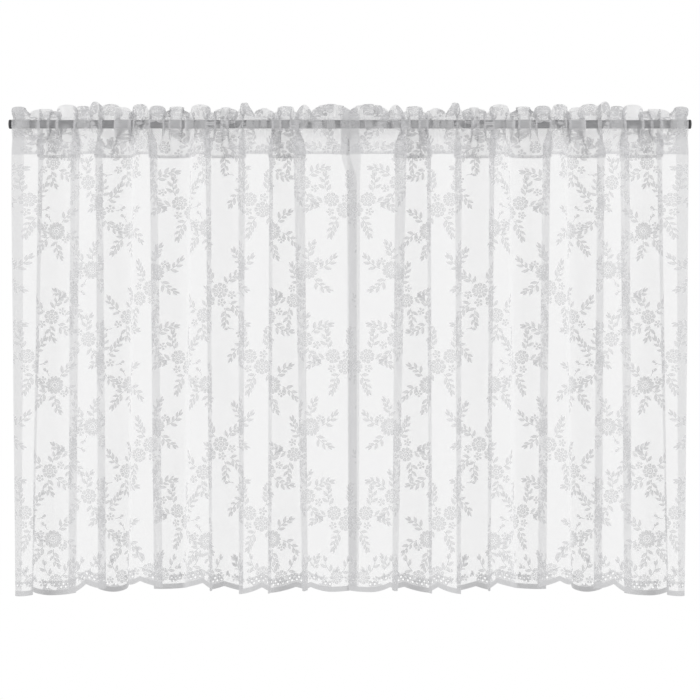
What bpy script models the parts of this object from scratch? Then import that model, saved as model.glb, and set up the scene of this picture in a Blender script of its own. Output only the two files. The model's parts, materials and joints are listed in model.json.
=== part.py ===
"""A pair of lace curtains gathered on a round tension rod.

Lengths are in metres, +Z is up. The origin is the centre of the rod's left end face, +X runs along
the rod and -Y is the side that faces the room. Each curtain is one sheet: it hangs in uneven folds to
a scalloped hem, and its top is turned over to make a frill above the rod and a pocket round it.
"""
import math
from collections import namedtuple

import bmesh
import bpy

# Rod
ROD_LENGTH = 1.060
ROD_RADIUS = 0.0065
ROD_SIDES = 32
CAP_LENGTH = 0.004
CAP_RADIUS = 0.0070
CAP_ROUNDING = 0.0008
FACE_GAP = 0.0003

# Cloth
CLOTH_THICKNESS = 0.0012
LAYER_SPACING = 0.0021
POCKET_RADIUS = 0.0079
STITCH_HEIGHT = 0.0098
SEAM_HEIGHT = -0.048
HEM_HEIGHT = -0.7285
OUTER_SCALLOP_START = -0.060
OUTER_SCALLOP_RISE = 0.018
HEM_STRAIGHT_PLACE = 0.85
FRILL_VALLEY = 0.0060
FRILL_FULLNESS = 0.11
LOBE_ROUNDNESS = 0.6
TURN_AT_ROD = 0.0050
CURTAIN_GAP_AT_ROD = 0.0034
SHARP_ANGLE = math.radians(40.0)

# Folds of the left curtain: x of both edges under the rod and at the hem, and how far the middle
# of the fold stands towards the room, which is negative for a fold that lies back
Fold = namedtuple("Fold", "left_top right_top left_hem right_hem forward")
FOLDS = (
    Fold(0.0050, 0.0540, 0.012, 0.038, 0.015),
    Fold(0.0430, 0.1090, 0.033, 0.103, -0.017),
    Fold(0.0980, 0.1460, 0.095, 0.152, 0.021),
    Fold(0.1320, 0.1910, 0.136, 0.184, -0.018),
    Fold(0.1970, 0.2300, 0.190, 0.239, 0.016),
    Fold(0.2165, 0.2810, 0.223, 0.271, -0.020),
    Fold(0.2850, 0.3135, 0.280, 0.316, 0.017),
    Fold(0.3035, 0.3670, 0.310, 0.364, -0.020),
    Fold(0.3580, 0.4100, 0.359, 0.407, 0.022),
    Fold(0.4030, 0.4600, 0.401, 0.465, -0.019),
    Fold(0.4430, 0.5300, 0.457, 0.530, 0.021),
)

# Section of one fold: share of its width, share of its depth
FoldPoint = namedtuple("FoldPoint", "across depth")
FOLD_SECTION = (
    FoldPoint(0.00, 0.55),
    FoldPoint(0.15, 0.84),
    FoldPoint(0.50, 1.00),
    FoldPoint(0.85, 0.84),
    FoldPoint(1.00, 0.55),
)

# Share of each fold's depth that the cloth has at a height
Level = namedtuple("Level", "height share")
LEVELS = (
    Level(0.034, 0.50),
    Level(STITCH_HEIGHT, 0.15),
    Level(0.000, 0.50),
    Level(SEAM_HEIGHT, 0.75),
    Level(-0.140, 0.95),
    Level(-0.400, 1.00),
    Level(HEM_HEIGHT, 1.10),
)

# Scallops of the hem from the outer edge inwards: the fold that each ends in and the share of that
# fold's width, how far its end lies above the hem's line, and how far its middle hangs below the line
Scallop = namedtuple("Scallop", "fold share rise drop")
SCALLOPS = (
    Scallop(2, 0.00, 0.001, 0.0033),
    Scallop(2, 0.85, -0.004, 0.0065),
    Scallop(3, 0.50, 0.017, 0.0000),
    Scallop(4, 0.00, 0.006, -0.0090),
    Scallop(4, 1.00, 0.007, 0.0012),
    Scallop(5, 0.33, 0.021, -0.0140),
    Scallop(7, 0.62, 0.018, -0.0030),
    Scallop(8, 0.42, 0.0075, -0.0020),
    Scallop(9, 0.72, 0.012, 0.0005),
    Scallop(10, 0.68, 0.0065, 0.0025),
    Scallop(11, 0.15, 0.012, -0.0025),
    Scallop(11, 1.00, 0.006, -0.0045),
)

# Frill of the left curtain: where each gathered lobe starts and ends and its rise above the rod's top
Lobe = namedtuple("Lobe", "left right rise")
LOBES = (
    Lobe(0.000, 0.033, 0.0200),
    Lobe(0.033, 0.077, 0.0185),
    Lobe(0.079, 0.103, 0.0240),
    Lobe(0.103, 0.127, 0.0220),
    Lobe(0.128, 0.144, 0.0270),
    Lobe(0.144, 0.167, 0.0275),
    Lobe(0.169, 0.188, 0.0200),
    Lobe(0.188, 0.220, 0.0245),
    Lobe(0.220, 0.241, 0.0225),
    Lobe(0.241, 0.277, 0.0230),
    Lobe(0.279, 0.319, 0.0230),
    Lobe(0.319, 0.353, 0.0220),
    Lobe(0.353, 0.381, 0.0255),
    Lobe(0.381, 0.412, 0.0180),
    Lobe(0.412, 0.448, 0.0225),
    Lobe(0.448, 0.470, 0.0240),
    Lobe(0.470, 0.532, 0.0230),
)

# The inner edge of each curtain: x of the edge, and how far the edge and the cloth beside it stand
# towards the room. Below the rod the right curtain lies over the left one
InnerEdge = namedtuple("InnerEdge", "reach forward beside")
LEFT_INNER_EDGE = InnerEdge(0.5400, 0.0040, 0.0120)
RIGHT_INNER_EDGE = InnerEdge(0.5310, 0.0135, 0.0176)

# Heights between which something changes on the way down
Change = namedtuple("Change", "start end")
FOLDS_OPEN = Change(-0.046, -0.086)
POCKET_CLOSES = Change(-0.0065, -0.048)
INNER_EDGES_PART = Change(-0.0065, -0.036)
INNER_EDGES_LAP = Change(-0.048, -0.086)

# Rows across the cloth, from the hem up the front, over the frill and down the back to the seam.
# place is a share of the drop, of the pocket below the rod or of the frill, or an angle round the rod
Row = namedtuple("Row", "layer zone place")
FRONT, FOLDED, BACK = 1, 0, -1
DROP_PLACES = (1.0, 0.93, 0.70, 0.38, 0.14, 0.055, 0.0)
POCKET_PLACES = (0.45, 0.80, 1.0)
ROD_ANGLES = (35.0, 66.0)
FRILL_PLACES = (0.0, 0.35, 0.80)


def mix(start, end, share):
    return start + (end - start) * share


def ease(share):
    share = min(max(share, 0.0), 1.0)
    return share * share * (3.0 - 2.0 * share)


def changed(change, height):
    """How far a change has gone at this height, from 0 to 1."""
    return ease((change.start - height) / (change.start - change.end))


def sheet_rows():
    """Every row of the sheet in order."""
    front = [Row(FRONT, "drop", place) for place in DROP_PLACES]
    pocket = [Row(FRONT, "pocket", place) for place in POCKET_PLACES]
    over_rod = [Row(FRONT, "rod", angle) for angle in ROD_ANGLES]
    frill = [Row(FRONT, "frill", place) for place in FRILL_PLACES]
    turned = pocket + over_rod + frill
    back = [Row(BACK, row.zone, row.place) for row in reversed(turned)]
    return front + turned + [Row(FOLDED, "frill", 1.0)] + back + [Row(BACK, "drop", 0.0)]


def depth_share(height):
    """How much of its depth a fold has at this height."""
    if height >= LEVELS[0].height:
        return LEVELS[0].share
    for upper, lower in zip(LEVELS, LEVELS[1:]):
        if height >= lower.height:
            place = (upper.height - height) / (upper.height - lower.height)
            return mix(upper.share, lower.share, ease(place))
    return LEVELS[-1].share


def fold_edges(height):
    """x of both edges of every fold at this height. On the rod the folds lie side by side."""
    drop = (FOLDS_OPEN.end - height) / (FOLDS_OPEN.end - HEM_HEIGHT)
    drop = min(max(drop, 0.0), 1.0)
    opened = changed(FOLDS_OPEN, height)
    edges = []
    for index, fold in enumerate(FOLDS):
        left_on_rod, right_on_rod = fold.left_top, fold.right_top
        if index > 0:
            left_on_rod = (FOLDS[index - 1].right_top + fold.left_top + TURN_AT_ROD) / 2
        if index < len(FOLDS) - 1:
            right_on_rod = (fold.right_top + FOLDS[index + 1].left_top - TURN_AT_ROD) / 2
        else:
            right_on_rod = (ROD_LENGTH - CURTAIN_GAP_AT_ROD) / 2
        left_below = mix(fold.left_top, fold.left_hem, drop)
        right_below = mix(fold.right_top, fold.right_hem, drop)
        edges.append((mix(left_on_rod, left_below, opened), mix(right_on_rod, right_below, opened)))
    return edges


def plan_points(height, inner_edge):
    """The folds seen from above at one height, as x and distance towards the room."""
    share = depth_share(height)
    lapped = changed(INNER_EDGES_LAP, height)
    parted = changed(INNER_EDGES_PART, height)
    points = []
    for fold, (left, right) in zip(FOLDS, fold_edges(height)):
        if fold is FOLDS[-1]:
            right = mix(right, inner_edge.reach, lapped)
        for across, depth in FOLD_SECTION:
            points.append((mix(left, right, across), fold.forward * depth * share))
    for back, forward in ((2, inner_edge.beside), (1, inner_edge.forward)):
        x, free = points[-back]
        points[-back] = (x, mix(free, forward * share, parted))
    return points


def offset_points(points, distance):
    """The same line moved square to itself towards the room by a distance."""
    moved = []
    for index, (x, forward) in enumerate(points):
        before = points[max(index - 1, 0)]
        after = points[min(index + 1, len(points) - 1)]
        along, out = after[0] - before[0], after[1] - before[1]
        length = math.hypot(along, out)
        moved.append((x - out / length * distance, forward + along / length * distance))
    return moved


def frill_top(x):
    """Height of the frill's top edge: a round lobe between two low valleys."""
    rise = FRILL_VALLEY
    for lobe in LOBES:
        if lobe.left < x < lobe.right:
            place = (x - lobe.left) / (lobe.right - lobe.left)
            rise += (lobe.rise - FRILL_VALLEY) * math.sin(math.pi * place) ** LOBE_ROUNDNESS
            break
    return ROD_RADIUS + rise


def hem_lengths(inner_edge):
    """Length of cloth along the hem from the outer edge to each column."""
    points = plan_points(HEM_HEIGHT, inner_edge)
    lengths = [0.0]
    for start, end in zip(points, points[1:]):
        lengths.append(lengths[-1] + math.dist(start, end))
    return lengths


def scallop_ends(lengths):
    """Length along the hem at which each scallop ends, the outer one's start first."""
    ends = [OUTER_SCALLOP_START]
    for scallop in SCALLOPS:
        column = (scallop.fold - 1) * len(FOLD_SECTION)
        for point, following in zip(FOLD_SECTION, FOLD_SECTION[1:]):
            if scallop.share <= following.across:
                share = (scallop.share - point.across) / (following.across - point.across)
                ends.append(mix(lengths[column], lengths[column + 1], share))
                break
            column += 1
    return ends


def hem_rises(inner_edge):
    """How far the scalloped edge lies above the hem's line at each column."""
    lengths = hem_lengths(inner_edge)
    ends = scallop_ends(lengths)
    rises = [OUTER_SCALLOP_RISE] + [scallop.rise for scallop in SCALLOPS]
    found = []
    for length in lengths:
        index = sum(length > end for end in ends[1:-1])
        place = 2.0 * (length - ends[index]) / (ends[index + 1] - ends[index]) - 1.0
        rise = rises[index] if place < 0.0 else rises[index + 1]
        found.append(mix(-SCALLOPS[index].drop, rise, place ** 2))
    return found


def row_height(row, x, hem_rise):
    """Height of one point of a row."""
    if row.zone == "drop":
        share_of_rise = (row.place - HEM_STRAIGHT_PLACE) / (1.0 - HEM_STRAIGHT_PLACE)
        return mix(SEAM_HEIGHT, HEM_HEIGHT, row.place) + hem_rise * ease(share_of_rise)
    if row.zone == "pocket":
        return SEAM_HEIGHT * (1.0 - row.place)
    if row.zone == "rod":
        return POCKET_RADIUS * math.sin(math.radians(row.place))
    return mix(STITCH_HEIGHT, frill_top(x), row.place)


def layer_distance(row, x):
    """How far the row's layer lies from the middle of the two layers, towards the room."""
    half = LAYER_SPACING / 2
    if row.zone == "frill":
        half += FRILL_FULLNESS * (frill_top(x) - STITCH_HEIGHT) * math.sin(math.pi * row.place)
    return half * row.layer


def round_the_rod(row, forward, height):
    """Keeps the front layer in front of the rod and the back layer behind it."""
    if row.zone not in ("pocket", "rod"):
        return forward
    clear = math.sqrt(POCKET_RADIUS ** 2 - max(height, 0.0) ** 2)
    kept = max(forward * row.layer, clear) * row.layer
    return mix(kept, forward, changed(POCKET_CLOSES, height))


def curtain_grid(inner_edge, mirrored):
    """Points of the sheet, a list for each row."""
    rises = hem_rises(inner_edge)
    on_rod = plan_points(0.0, inner_edge)
    grid = []
    for row in sheet_rows():
        columns = []
        for column, rise in enumerate(rises):
            x_on_rod = on_rod[column][0]
            height = row_height(row, x_on_rod, rise)
            points = plan_points(height, inner_edge)
            x, forward = offset_points(points, layer_distance(row, x_on_rod))[column]
            forward = round_the_rod(row, forward, height)
            columns.append((ROD_LENGTH - x if mirrored else x, -forward, height))
        grid.append(columns)
    return grid


def make_material(name, colour, roughness, metallic):
    material = bpy.data.materials.new(name)
    material.use_nodes = True
    shader = material.node_tree.nodes["Principled BSDF"]
    shader.inputs["Base Color"].default_value = (*colour, 1.0)
    shader.inputs["Roughness"].default_value = roughness
    shader.inputs["Metallic"].default_value = metallic
    return material


def finish_object(name, mesh, material, collection):
    shaped = bpy.data.objects.new(name, mesh)
    mesh.materials.append(material)
    collection.objects.link(shaped)
    return shaped


def make_curtain(name, inner_edge, mirrored, material, collection):
    """One sheet: a grid laid on the folds and given its thickness."""
    grid = curtain_grid(inner_edge, mirrored)
    row_steps, column_steps = len(grid) - 1, len(grid[0]) - 1
    cage = bmesh.new()
    bmesh.ops.create_grid(cage, x_segments=column_steps, y_segments=row_steps, size=1.0)
    for vertex in cage.verts:
        column = round((vertex.co.x + 1.0) / 2.0 * column_steps)
        row = round((vertex.co.y + 1.0) / 2.0 * row_steps)
        vertex.co = grid[row][column]
    if mirrored:
        bmesh.ops.reverse_faces(cage, faces=cage.faces)
    mesh = bpy.data.meshes.new(name)
    cage.to_mesh(mesh)
    cage.free()
    mesh.shade_smooth()
    curtain = finish_object(name, mesh, material, collection)
    shell = curtain.modifiers.new("Thickness", "SOLIDIFY")
    shell.thickness = CLOTH_THICKNESS
    shell.offset = 0.0
    shell.use_even_offset = True
    return curtain


def make_round_bar(name, start, end, radius, rounding, material, collection):
    """A closed bar along X between two flat end faces."""
    bpy.ops.mesh.primitive_cylinder_add(
        vertices=ROD_SIDES,
        radius=radius,
        depth=end - start,
        location=((start + end) / 2, 0.0, 0.0),
        rotation=(0.0, math.pi / 2, 0.0),
    )
    bar = bpy.context.object
    bar.name = name
    bar.data.name = name
    for owner in list(bar.users_collection):
        owner.objects.unlink(bar)
    collection.objects.link(bar)
    bar.data.materials.append(material)
    bar.data.shade_smooth()
    bar.data.set_sharp_from_angle(angle=SHARP_ANGLE)
    if rounding:
        edge = bar.modifiers.new("Rounded rim", "BEVEL")
        edge.width = rounding
        edge.segments = 2
        edge.limit_method = "ANGLE"
        edge.angle_limit = SHARP_ANGLE
    return bar


def make_rod(steel, rubber, collection):
    """The rod and the rubber tip at each of its ends."""
    tube_start = CAP_LENGTH + FACE_GAP
    make_round_bar("rod_tube", tube_start, ROD_LENGTH - tube_start, ROD_RADIUS, 0.0, steel, collection)
    make_round_bar("rod_tip_left", 0.0, CAP_LENGTH, CAP_RADIUS, CAP_ROUNDING, rubber, collection)
    make_round_bar(
        "rod_tip_right", ROD_LENGTH - CAP_LENGTH, ROD_LENGTH, CAP_RADIUS, CAP_ROUNDING, rubber, collection
    )


def main():
    for leftover in list(bpy.data.objects):
        bpy.data.objects.remove(leftover, do_unlink=True)
    collection = bpy.data.collections.new("pair_of_lace_curtains")
    bpy.context.scene.collection.children.link(collection)
    lace = make_material("white_lace", (0.90, 0.90, 0.90), 0.85, 0.0)
    steel = make_material("grey_steel", (0.42, 0.42, 0.43), 0.35, 0.9)
    rubber = make_material("dark_rubber", (0.10, 0.10, 0.10), 0.8, 0.0)
    make_rod(steel, rubber, collection)
    make_curtain("left_curtain", LEFT_INNER_EDGE, False, lace, collection)
    make_curtain("right_curtain", RIGHT_INNER_EDGE, True, lace, collection)


main()
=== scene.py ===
"""The looks of a pair of lace curtains on a tension rod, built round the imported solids.

Lengths are in metres. A place on a flat curtain is (across, up): across from its outer side edge and
up from the lowest line of its scalloped hem. Every flower, leaf and stitch is laid out flat and then
carried onto the folded sheet.
"""
import json
import math
from collections import namedtuple

import bpy
import numpy as np
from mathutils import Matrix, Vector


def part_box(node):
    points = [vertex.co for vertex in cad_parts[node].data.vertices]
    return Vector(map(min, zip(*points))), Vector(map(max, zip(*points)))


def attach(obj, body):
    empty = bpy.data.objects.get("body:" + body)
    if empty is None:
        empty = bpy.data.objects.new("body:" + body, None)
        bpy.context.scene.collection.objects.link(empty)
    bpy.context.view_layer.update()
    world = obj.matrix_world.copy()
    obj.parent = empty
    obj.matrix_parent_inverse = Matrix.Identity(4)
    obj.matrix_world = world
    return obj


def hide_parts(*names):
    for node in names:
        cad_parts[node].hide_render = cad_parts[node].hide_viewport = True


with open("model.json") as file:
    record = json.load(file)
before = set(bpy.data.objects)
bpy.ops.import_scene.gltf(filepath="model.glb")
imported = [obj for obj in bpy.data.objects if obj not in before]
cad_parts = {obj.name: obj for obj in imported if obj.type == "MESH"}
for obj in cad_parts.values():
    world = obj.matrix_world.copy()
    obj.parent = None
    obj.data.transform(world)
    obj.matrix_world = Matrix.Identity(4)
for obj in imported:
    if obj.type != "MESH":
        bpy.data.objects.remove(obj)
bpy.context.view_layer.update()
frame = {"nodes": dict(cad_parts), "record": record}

ROD_LENGTH = frame["record"]["mounts"][1]["pos_m"][0]
ROD_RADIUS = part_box("rod_tube")[1][2]

# The sheet's sizes, close to those of the solids: its two layers lie closer together, its frill is
# fuller and dips lower between the lobes, and its seam sags where the cloth lies back
LAYER_SPACING = 0.0016
POCKET_RADIUS = 0.0075
STITCH_HEIGHT = 0.0098
SEAM_HEIGHT = -0.048
HEM_HEIGHT = -0.7285
OUTER_SCALLOP_START = -0.060
OUTER_SCALLOP_RISE = 0.018
HEM_STRAIGHT_PLACE = 0.85
FRILL_VALLEY = 0.0038
FRILL_FULLNESS = 0.13
FRILL_SWELL = 0.85
FRILL_LENGTH = 0.020
SEAM_SAG = 0.0032
DEEP_ON_ROD = 0.0095
FOLD_SQUEEZE = 0.18
DEEPEST_FOLD = 0.022
TURN_AT_ROD = 0.0050
CURTAIN_GAP_AT_ROD = 0.0034

# Folds of the left curtain: x of both edges under the rod and at the hem, and how far the middle
# of the fold stands towards the room, which is negative for a fold that lies back
Fold = namedtuple("Fold", "left_top right_top left_hem right_hem forward")
FOLDS = (
    Fold(0.0050, 0.0540, 0.012, 0.038, 0.015),
    Fold(0.0430, 0.1090, 0.033, 0.103, -0.017),
    Fold(0.0980, 0.1460, 0.095, 0.152, 0.021),
    Fold(0.1320, 0.1910, 0.136, 0.184, -0.018),
    Fold(0.1970, 0.2300, 0.190, 0.239, 0.016),
    Fold(0.2165, 0.2810, 0.223, 0.271, -0.020),
    Fold(0.2850, 0.3135, 0.280, 0.316, 0.017),
    Fold(0.3035, 0.3670, 0.310, 0.364, -0.020),
    Fold(0.3580, 0.4100, 0.359, 0.407, 0.022),
    Fold(0.4030, 0.4600, 0.401, 0.465, -0.019),
    Fold(0.4430, 0.5300, 0.457, 0.530, 0.021),
)

# One fold seen from above, in shares of its width and depth, and the share of that depth that it has
# at some heights
FoldPoint = namedtuple("FoldPoint", "across depth")
FOLD_SECTION = (
    FoldPoint(0.00, 0.55),
    FoldPoint(0.15, 0.84),
    FoldPoint(0.50, 1.00),
    FoldPoint(0.85, 0.84),
    FoldPoint(1.00, 0.55),
)
Level = namedtuple("Level", "height share")
LEVELS = (
    Level(0.034, 0.50),
    Level(STITCH_HEIGHT, 0.15),
    Level(0.000, 0.50),
    Level(SEAM_HEIGHT, 0.75),
    Level(-0.140, 0.95),
    Level(-0.400, 1.00),
    Level(HEM_HEIGHT, 1.10),
)

# Scallops of the hem from the outer edge inwards: the fold that each ends in and the share of that
# fold's width, how far its end lies above the hem's line, and how far its middle hangs below the line
Scallop = namedtuple("Scallop", "fold share rise drop")
SCALLOPS = (
    Scallop(2, 0.00, 0.001, 0.0033),
    Scallop(2, 0.85, -0.004, 0.0065),
    Scallop(3, 0.50, 0.017, 0.0000),
    Scallop(4, 0.00, 0.006, -0.0090),
    Scallop(4, 1.00, 0.007, 0.0012),
    Scallop(5, 0.33, 0.021, -0.0140),
    Scallop(7, 0.62, 0.018, -0.0030),
    Scallop(8, 0.42, 0.0075, -0.0020),
    Scallop(9, 0.72, 0.012, 0.0005),
    Scallop(10, 0.68, 0.0065, 0.0025),
    Scallop(11, 0.15, 0.012, -0.0025),
    Scallop(11, 1.00, 0.006, -0.0045),
)

# Frill of the left curtain: where each gathered lobe starts and ends, its rise above the rod's top,
# how far its top leans towards the room, and how pointed it is: 0.5 is broad and round, 1.4 a peak
Lobe = namedtuple("Lobe", "left right rise lean point")
LOBES = (
    Lobe(0.000, 0.033, 0.0200, 0.003, 0.6),
    Lobe(0.033, 0.078, 0.0185, -0.005, 0.5),
    Lobe(0.078, 0.103, 0.0240, 0.006, 0.8),
    Lobe(0.103, 0.128, 0.0220, -0.006, 0.6),
    Lobe(0.128, 0.144, 0.0270, 0.005, 1.0),
    Lobe(0.144, 0.168, 0.0275, -0.005, 0.5),
    Lobe(0.168, 0.188, 0.0200, 0.006, 1.2),
    Lobe(0.188, 0.220, 0.0245, -0.006, 0.6),
    Lobe(0.220, 0.241, 0.0225, 0.006, 0.8),
    Lobe(0.241, 0.278, 0.0230, -0.005, 0.6),
    Lobe(0.278, 0.319, 0.0230, 0.005, 0.8),
    Lobe(0.319, 0.353, 0.0220, -0.006, 0.5),
    Lobe(0.353, 0.381, 0.0255, 0.006, 1.3),
    Lobe(0.381, 0.412, 0.0180, -0.005, 0.6),
    Lobe(0.412, 0.448, 0.0225, 0.005, 0.7),
    Lobe(0.448, 0.470, 0.0240, -0.006, 1.4),
    Lobe(0.470, 0.532, 0.0230, 0.004, 0.5),
)

# How far the lobes and the gathers on the rod fan out, as shares of their width, and how wide, deep
# and uneven the gathers are
LOBE_FAN = 0.45
GATHER_WIDTH = 0.0130
GATHER_FAN_CREST = 1.0
GATHER_FAN_RECESS = 2.2
GATHER_FAN_DEPTH = 0.016
GATHER_DEPTH = 0.0023
GATHERS_IN_FRILL = 0.75
GATHER_UNEVENNESS = 0.09
GATHER_VARIETY = 700

# Soft waves that move the sheet a little: narrow ones, which wander by some radians, and two broad
# ones that slant down the drop. How close together they lie is in radians a metre
SOFT_WAVE = 0.0007
WAVE_CLOSENESS = 480
WANDER = 1.5
WANDER_CLOSENESS = 90
BroadWave = namedtuple("BroadWave", "down across")
BROAD_WAVES = (BroadWave(21, 17), BroadWave(9, -41))

# The inner edge of each curtain: below the rod the right one lies over the left one
InnerEdge = namedtuple("InnerEdge", "reach forward beside")
LEFT_INNER_EDGE = InnerEdge(0.5400, 0.0040, 0.0120)
RIGHT_INNER_EDGE = InnerEdge(0.5310, 0.0135, 0.0176)

# Heights between which something changes on the way down
Change = namedtuple("Change", "start end")
FOLDS_OPEN = Change(-0.004, -0.034)
POCKET_CLOSES = Change(-0.0065, -0.026)
INNER_EDGES_PART = Change(-0.0065, -0.036)
INNER_EDGES_LAP = Change(-0.048, -0.086)
GATHERS_FADE = Change(-0.010, -0.048)
WAVES_FADE = Change(-0.030, -0.130)

# How finely the sheet is measured and made
MEASURED_HEIGHTS = (-0.25, -0.55, HEM_HEIGHT)
MEASURED_PLACES = 4000
COLUMN_STEP = 0.0015
DROP_STEP = 0.0080
POCKET_STEPS = 10
ROD_ANGLES = (12.0, 26.0, 42.0, 60.0, 78.0)
FRILL_PLACES = (0.0, 0.12, 0.28, 0.45, 0.62, 0.78, 0.90, 0.97)

# Places on the flat cloth: the seam, the stitched line under the frill, the hems and the border
SEAM_UP = SEAM_HEIGHT - HEM_HEIGHT
STITCH_UP = SEAM_UP - SEAM_HEIGHT + POCKET_RADIUS * math.pi / 2
SIDE_HEM_WIDTH = 0.016
TURNED_EDGE = 0.0045
EDGE_BAND = 0.0080
BAND_COVER = 0.90
BORDER_HEIGHT = 0.0220
MOTIF_LIFT = 0.00022

# Slanting threads of the net, of a hem's second layer and of the border's close patches: how they
# lean, and the share of the cloth that they cover
NET_PITCH = 0.0014
NET_COVER = 0.27
Threads = namedtuple("Threads", "slope share")
NET_THREADS = Threads(0.58, 1.0 - math.sqrt(1.0 - NET_COVER))
HEM_THREADS = Threads(5.0, 0.46)
BORDER_THREADS = Threads(1.3, 0.60)
PATCH_SCALE = 34.0
PATCH_LEVEL = 0.45

# Small eyelets of the border
EyeletRow = namedtuple("EyeletRow", "shift height")
EYELET_ROWS = (EyeletRow(0.0, 0.0122), EyeletRow(0.0036, 0.0170))
EYELET_PITCH = 0.0072
EYELET_RADIUS = 0.0017
EYELET_RIM = 0.0008

# Pleats too fine to model: how far from the rod's middle they are close and gone, how much of the
# open net they close, and the scale and the levels of their patches
PLEATS_UP = -HEM_HEIGHT
PLEATS_CLOSE = 0.006
PLEATS_GONE = 0.013
PLEATS_COVER = 0.55
PLEATS_SCALE = (62.0, 16.0, 1.0)
PLEATS_FAINT = 0.40
PLEATS_FULL = 0.55

# Dense yarn of the motifs: the pitch of its ribs and columns and how much they show, and the share
# that it covers inside a petal or leaf and, on top of that, at the outline
RIB_PITCH = 0.0009
COLUMN_PITCH = 0.0011
WEAVE_DEPTH = 0.06
INSIDE_COVER = 0.50
OUTLINE_COVER = 0.38

# Stitches
STITCH_MARGIN = 0.004
STITCH_PITCH = 0.0032
STITCH_LENGTH = 0.0022
STITCH_BULGE = 0.00015
THREAD_WIDTH = 0.00056
STITCHES_ABOVE_SEAM = 0.001


def mix(start, end, share):
    return start + (end - start) * share


def ease(share):
    share = np.clip(share, 0.0, 1.0)
    return share * share * (3.0 - 2.0 * share)


def changed(change, height):
    """How far a change has gone at these heights, from 0 to 1."""
    return ease((change.start - height) / (change.start - change.end))


def depth_share(height):
    """How much of its depth a fold has at these heights."""
    share = np.full_like(height, LEVELS[0].share)
    for upper, lower in zip(LEVELS, LEVELS[1:]):
        place = ease((upper.height - height) / (upper.height - lower.height))
        share = np.where(height < upper.height, mix(upper.share, lower.share, place), share)
    return share


def plan_keys(height, inner_edge):
    """Fold points seen from above: x and distance towards the room, for every point and height."""
    drop = np.clip((FOLDS_OPEN.end - height) / (FOLDS_OPEN.end - HEM_HEIGHT), 0.0, 1.0)
    opened = changed(FOLDS_OPEN, height)
    lapped = changed(INNER_EDGES_LAP, height)
    parted = changed(INNER_EDGES_PART, height)
    share = depth_share(height)
    xs, forwards = [], []
    for index, fold in enumerate(FOLDS):
        left_on_rod = fold.left_top
        right_on_rod = (ROD_LENGTH - CURTAIN_GAP_AT_ROD) / 2
        if index > 0:
            left_on_rod = (FOLDS[index - 1].right_top + fold.left_top + TURN_AT_ROD) / 2
        if index < len(FOLDS) - 1:
            right_on_rod = (fold.right_top + FOLDS[index + 1].left_top - TURN_AT_ROD) / 2
        left = mix(left_on_rod, mix(fold.left_top, fold.left_hem, drop), opened)
        right = mix(right_on_rod, mix(fold.right_top, fold.right_hem, drop), opened)
        if index == len(FOLDS) - 1:
            right = mix(right, inner_edge.reach, lapped)
        for across, depth in FOLD_SECTION:
            xs.append(mix(left, right, across))
            forwards.append(fold.forward * depth * share)
    for back, forward in ((2, inner_edge.beside), (1, inner_edge.forward)):
        forwards[-back] = mix(forwards[-back], forward * share, parted)
    return np.array(xs), np.array(forwards)


def smooth_through(keys, places):
    """A smooth curve through the keys, one place along them for each column."""
    last = len(keys) - 1
    start = np.clip(np.floor(places).astype(int), 0, last - 1)
    part = places - start
    columns = np.arange(len(places))
    before = keys[np.maximum(start - 1, 0), columns]
    here = keys[start, columns]
    there = keys[start + 1, columns]
    after = keys[np.minimum(start + 2, last), columns]
    bend = here * 2 + (there - before) * part
    bend += (2 * before - 5 * here + 4 * there - after) * part ** 2
    bend += (3 * (here - there) + after - before) * part ** 3
    return bend / 2


def plan_line(height, places, inner_edge):
    """x and distance towards the room of every column at its own height."""
    xs, forwards = plan_keys(height, inner_edge)
    return smooth_through(xs, places), smooth_through(forwards, places)


def scallop_ends(places, across):
    """Place across the cloth at which each scallop ends, the outer one's start first."""
    shares = [point.across for point in FOLD_SECTION]
    ends = [OUTER_SCALLOP_START]
    for scallop in SCALLOPS:
        steps = np.interp(scallop.share, shares, np.arange(len(shares)))
        key = (scallop.fold - 1) * len(shares) + steps
        ends.append(float(np.interp(key, places, across)))
    return np.array(ends)


def scallop_rise(ends, across):
    """How far the scalloped edge lies above the hem's line at places across the cloth."""
    rises = np.array([OUTER_SCALLOP_RISE] + [scallop.rise for scallop in SCALLOPS])
    drops = np.array([scallop.drop for scallop in SCALLOPS])
    index = np.clip(np.searchsorted(ends, across) - 1, 0, len(SCALLOPS) - 1)
    place = 2.0 * (across - ends[index]) / (ends[index + 1] - ends[index]) - 1.0
    rise = np.where(place < 0.0, rises[index], rises[index + 1])
    return mix(-drops[index], rise, place ** 2)


Ruffle = namedtuple("Ruffle", "aside out")


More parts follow.
